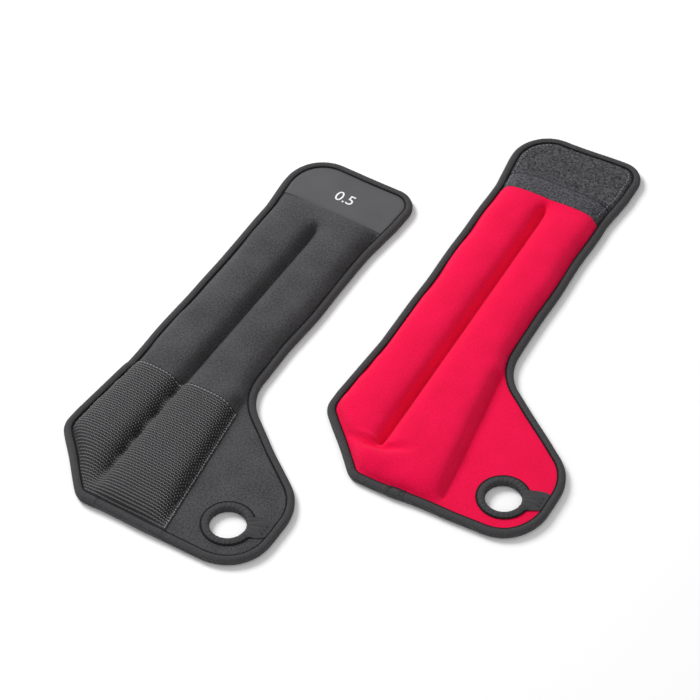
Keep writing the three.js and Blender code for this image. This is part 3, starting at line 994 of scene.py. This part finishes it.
for side in SIDES:
    up = side == "left"
    top_at, low_at = upper_top(side), lower_low(side)
    if up:
        def panel_top(u, v):
            swell = PANEL_STEP + 0.25 * at(panel_waves, u, v)
            return top_at(u, v) + 0.1 + swell * past_tape(side, u, v, LIP - 0.6, 1.2)

        def panel_low(u, v):
            return top_at(u, v) - SKIN * smooth((v - PANEL_V - 1.2) / 1.5) + 0.05
    else:
        def panel_top(u, v):
            return LOW_SKIN + SKIN - 1.25 * smooth((PANEL_V + 2.7 - v) / 1.5)

        def panel_low(u, v):
            return LOW_SKIN - 0.35 - PANEL_STEP * past_tape(side, u, v, LIP - 0.6, 1.2)
    area = cloth_area(side, low=PANEL_V - 0.6)
    piece = layer(f"{side}_end_panel", side, (PANEL_V - 1.0, TIP_V), area, panel_low, panel_top,
        coated)
    bends(piece, side, TAB)
    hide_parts(f"{side}_end_panel")

    text = bpy.data.curves.new(f"{side}_number", "FONT")
    text.body = "0.5"
    text.align_x = text.align_y = "CENTER"
    text.size = NUMBER_HEIGHT
    text.extrude = 0.05
    letters = shown(f"{side}_number", text)
    data = bpy.data.meshes.new_from_object(letters)
    bpy.data.objects.remove(letters)
    spots = np.array([vertex.co for vertex in data.vertices])
    facing = 1 if up else -1
    u, v = facing * spots[:, 0], spots[:, 1] + NUMBER_V
    face_z = panel_top(u, v) if up else panel_low(u, v)
    spots = np.c_[u, v, face_z + facing * (0.07 + spots[:, 2])]
    data.vertices.foreach_set("co", placed(side, spots).astype(np.float32).ravel())
    data.materials.clear()
    data.materials.append(white_print)
    data.update()
    piece = shown(f"{side}_weight_number", data)
    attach(piece, f"{side}_tab")

# --------------------------------------
# Hook panel: charcoal hook fastener on the lining side of the tab, sewn to a smooth strip that
# covers the ends of the channels. A thin ridge marks where the hooks start.
STRIP_LOW = 154.0
HOOK_LOW = 172.0
HOOK_RISE = 1.0
RIDGE = 0.9
FUZZ = 0.22
PILE_TRIES, PILE_COUNT = 5200, 3600  # hairs drawn over the whole panel, and hairs kept
charcoal, hook_tree, hook_surface = finish_of("charcoal_brushed_nylon", 0.95)
# Brushed nylon ground: matt and dark with grey flecks where fibres stand.
fleck = cloudy(hook_tree, place_in(hook_tree), 620.0, 5.0, 0.7)
tone = ramp(hook_tree, fleck, 0.4, 0.62)
strip = mixed(hook_tree, tone, "#242428", "#56565c")
hooks = mixed(hook_tree, tone, "#0a0a0b", "#5a5a5e")
along = add(hook_tree, "ShaderNodeSeparateXYZ", {"Vector": carried(hook_tree, "cloth_mm", "Vector")}
    ).outputs["Y"]
tint = mixed(hook_tree, ramp(hook_tree, along, HOOK_LOW - 0.5, HOOK_LOW + 1.5), strip, hooks)
# Painted shadow: a near-black band along the hooks' lower edge, where they rise from the strip.
hook_edge_painted_shadow = reckon(hook_tree, "COMPARE", along, HOOK_LOW - 0.2, 0.6)
dress(hook_tree, hook_surface, mixed(hook_tree, hook_edge_painted_shadow, tint, "#121213"), fleck, 0.8, 0.5)
pile_yarn = spun("charcoal_nylon_pile", "#2e2e30", "#77777b")
fuzz = wander(PLAN_U, PLAN_V, 2.6, 90) * 0.5 + wander(PLAN_U, PLAN_V, 9, 91)

for side in SIDES:
    up = side == "right"
    top_at, low_at = upper_top(side), lower_low(side)

    def raised(u, v):
        """How far the hooks stand over the strip, with the ridge along their lower edge."""
        field = past_tape(side, u, v, LIP + 0.2, 1.2) * smooth((v - HOOK_LOW) / 3)
        ridge = RIDGE * bell(v - HOOK_LOW - 3.2, 2.0)
        return field * (HOOK_RISE + ridge + FUZZ * at(fuzz, u, v))

    def hook_top(u, v):
        if not up:
            return low_at(u, v) + SKIN
        strip = 0.5 * past_tape(side, u, v, LIP, 1.5) * smooth(v - STRIP_LOW + 0.5)
        return top_at(u, v) + strip + raised(u, v)

    def hook_low(u, v):
        if up:
            tuck = (SKIN + 0.08) * smooth((v - LINING_TOP - 0.4) / 1.5)
            return top_at(u, v) + 0.08 - tuck
        return np.maximum(low_at(u, v) - 0.8 * raised(u, v), 0.1)

    area = cloth_area(side, low=STRIP_LOW if up else LINING_TOP + 0.3)
    piece = layer(f"{side}_hook_panel", side, (STRIP_LOW - 1, TIP_V), area, hook_low, hook_top,
        charcoal, 1.0 if up else 1.5)
    bends(piece, side, TAB)
    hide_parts(f"{side}_hook_panel", f"{side}_hook_backing")

    rng = np.random.default_rng(5)
    u = rng.uniform(-42, 42, PILE_TRIES)
    v = rng.uniform(HOOK_LOW + 1, TIP_V - 5, PILE_TRIES)
    on = at(depths[side], u, v) > LIP + 1.0
    u, v = u[on][:PILE_COUNT], v[on][:PILE_COUNT]
    way = np.stack([rng.normal(size=len(u)) * lean for lean in (1, 1, 0.6)], 1)
    z = hook_top(u, v) + 0.08 if up else np.maximum(hook_low(u, v) - 0.05, 0.2)
    piece = threads(f"{side}_hook_pile", side, np.c_[u, v, z], way, 1.1, 0.24, pile_yarn)
    bends(piece, side, TAB)

    out, v = np.linspace(56, 20, 80), np.linspace(158, 213, 60)
    for edge, sign in (("plain", -1), ("thumb", 1)):
        rows = [at(depths[side], sign * out, np.full_like(out, along)) for along in v]
        seam = [np.interp(LIP + 2.6, depth, out) for depth in rows]
        line = np.c_[sign * np.array(seam), v]
        where, way = seam_points(line, 2.7)
        z = hook_top(*where.T) + 0.12 if up else np.maximum(hook_low(*where.T) - 0.05, 0.15)
        rise = hook_top(*(where + way).T) - hook_top(*(where - way).T) if up else 0 * z
        piece = threads(f"{side}_hook_stitches_{edge}", side, np.c_[where, z],
            np.c_[way * 2, rise], 2.0, THREAD, grey_thread)
        bends(piece, side, TAB)

# --------------------------------------
# The table that the cuffs lie on, the lamps and the camera.
# Matt painted board, very slightly uneven.
white_board = even("white_matt_board", 0.9, 0.1, 3.0, 2.0, "#f6f6f6", "#fafafa")
FLOOR, FLOOR_Z = 6.0, -0.0005
corners = [(x * FLOOR, y * FLOOR, FLOOR_Z) for x, y in ((-1, -1), (1, -1), (1, 1), (-1, 1))]
floor = meshed("table_top", corners, [(0, 1, 2, 3)], white_board)

world = bpy.data.worlds.new("studio")
scene.world = world
world.use_nodes = True
sky = world.node_tree.nodes["Background"]
sky.inputs["Color"].default_value = (1, 1, 1, 1)
sky.inputs["Strength"].default_value = 0.5


def lamp(name, place, size, watts):
    """A square soft box, aimed at the middle of the pair."""
    light = bpy.data.lights.new(name, "AREA")
    light.size, light.energy = size, watts
    made = shown(name, light)
    made.location = place
    made.rotation_euler = (-Vector(place)).to_track_quat("-Z", "Y").to_euler()


lamp("key", (-1.45, 0.3, 1.35), 0.8, 36)
lamp("fill", (1.1, -1.2, 1.9), 1.6, 9)

camera = bpy.data.cameras.new("camera")
camera.lens, camera.sensor_width = 154.3, 36
viewer = shown("camera", camera)
viewer.location = (0.7003, -1.2124, 1.5492)
viewer.rotation_euler = (math.radians(41.995), 0, math.radians(31.634))
scene.camera = viewer
scene.view_settings.view_transform = "Standard"
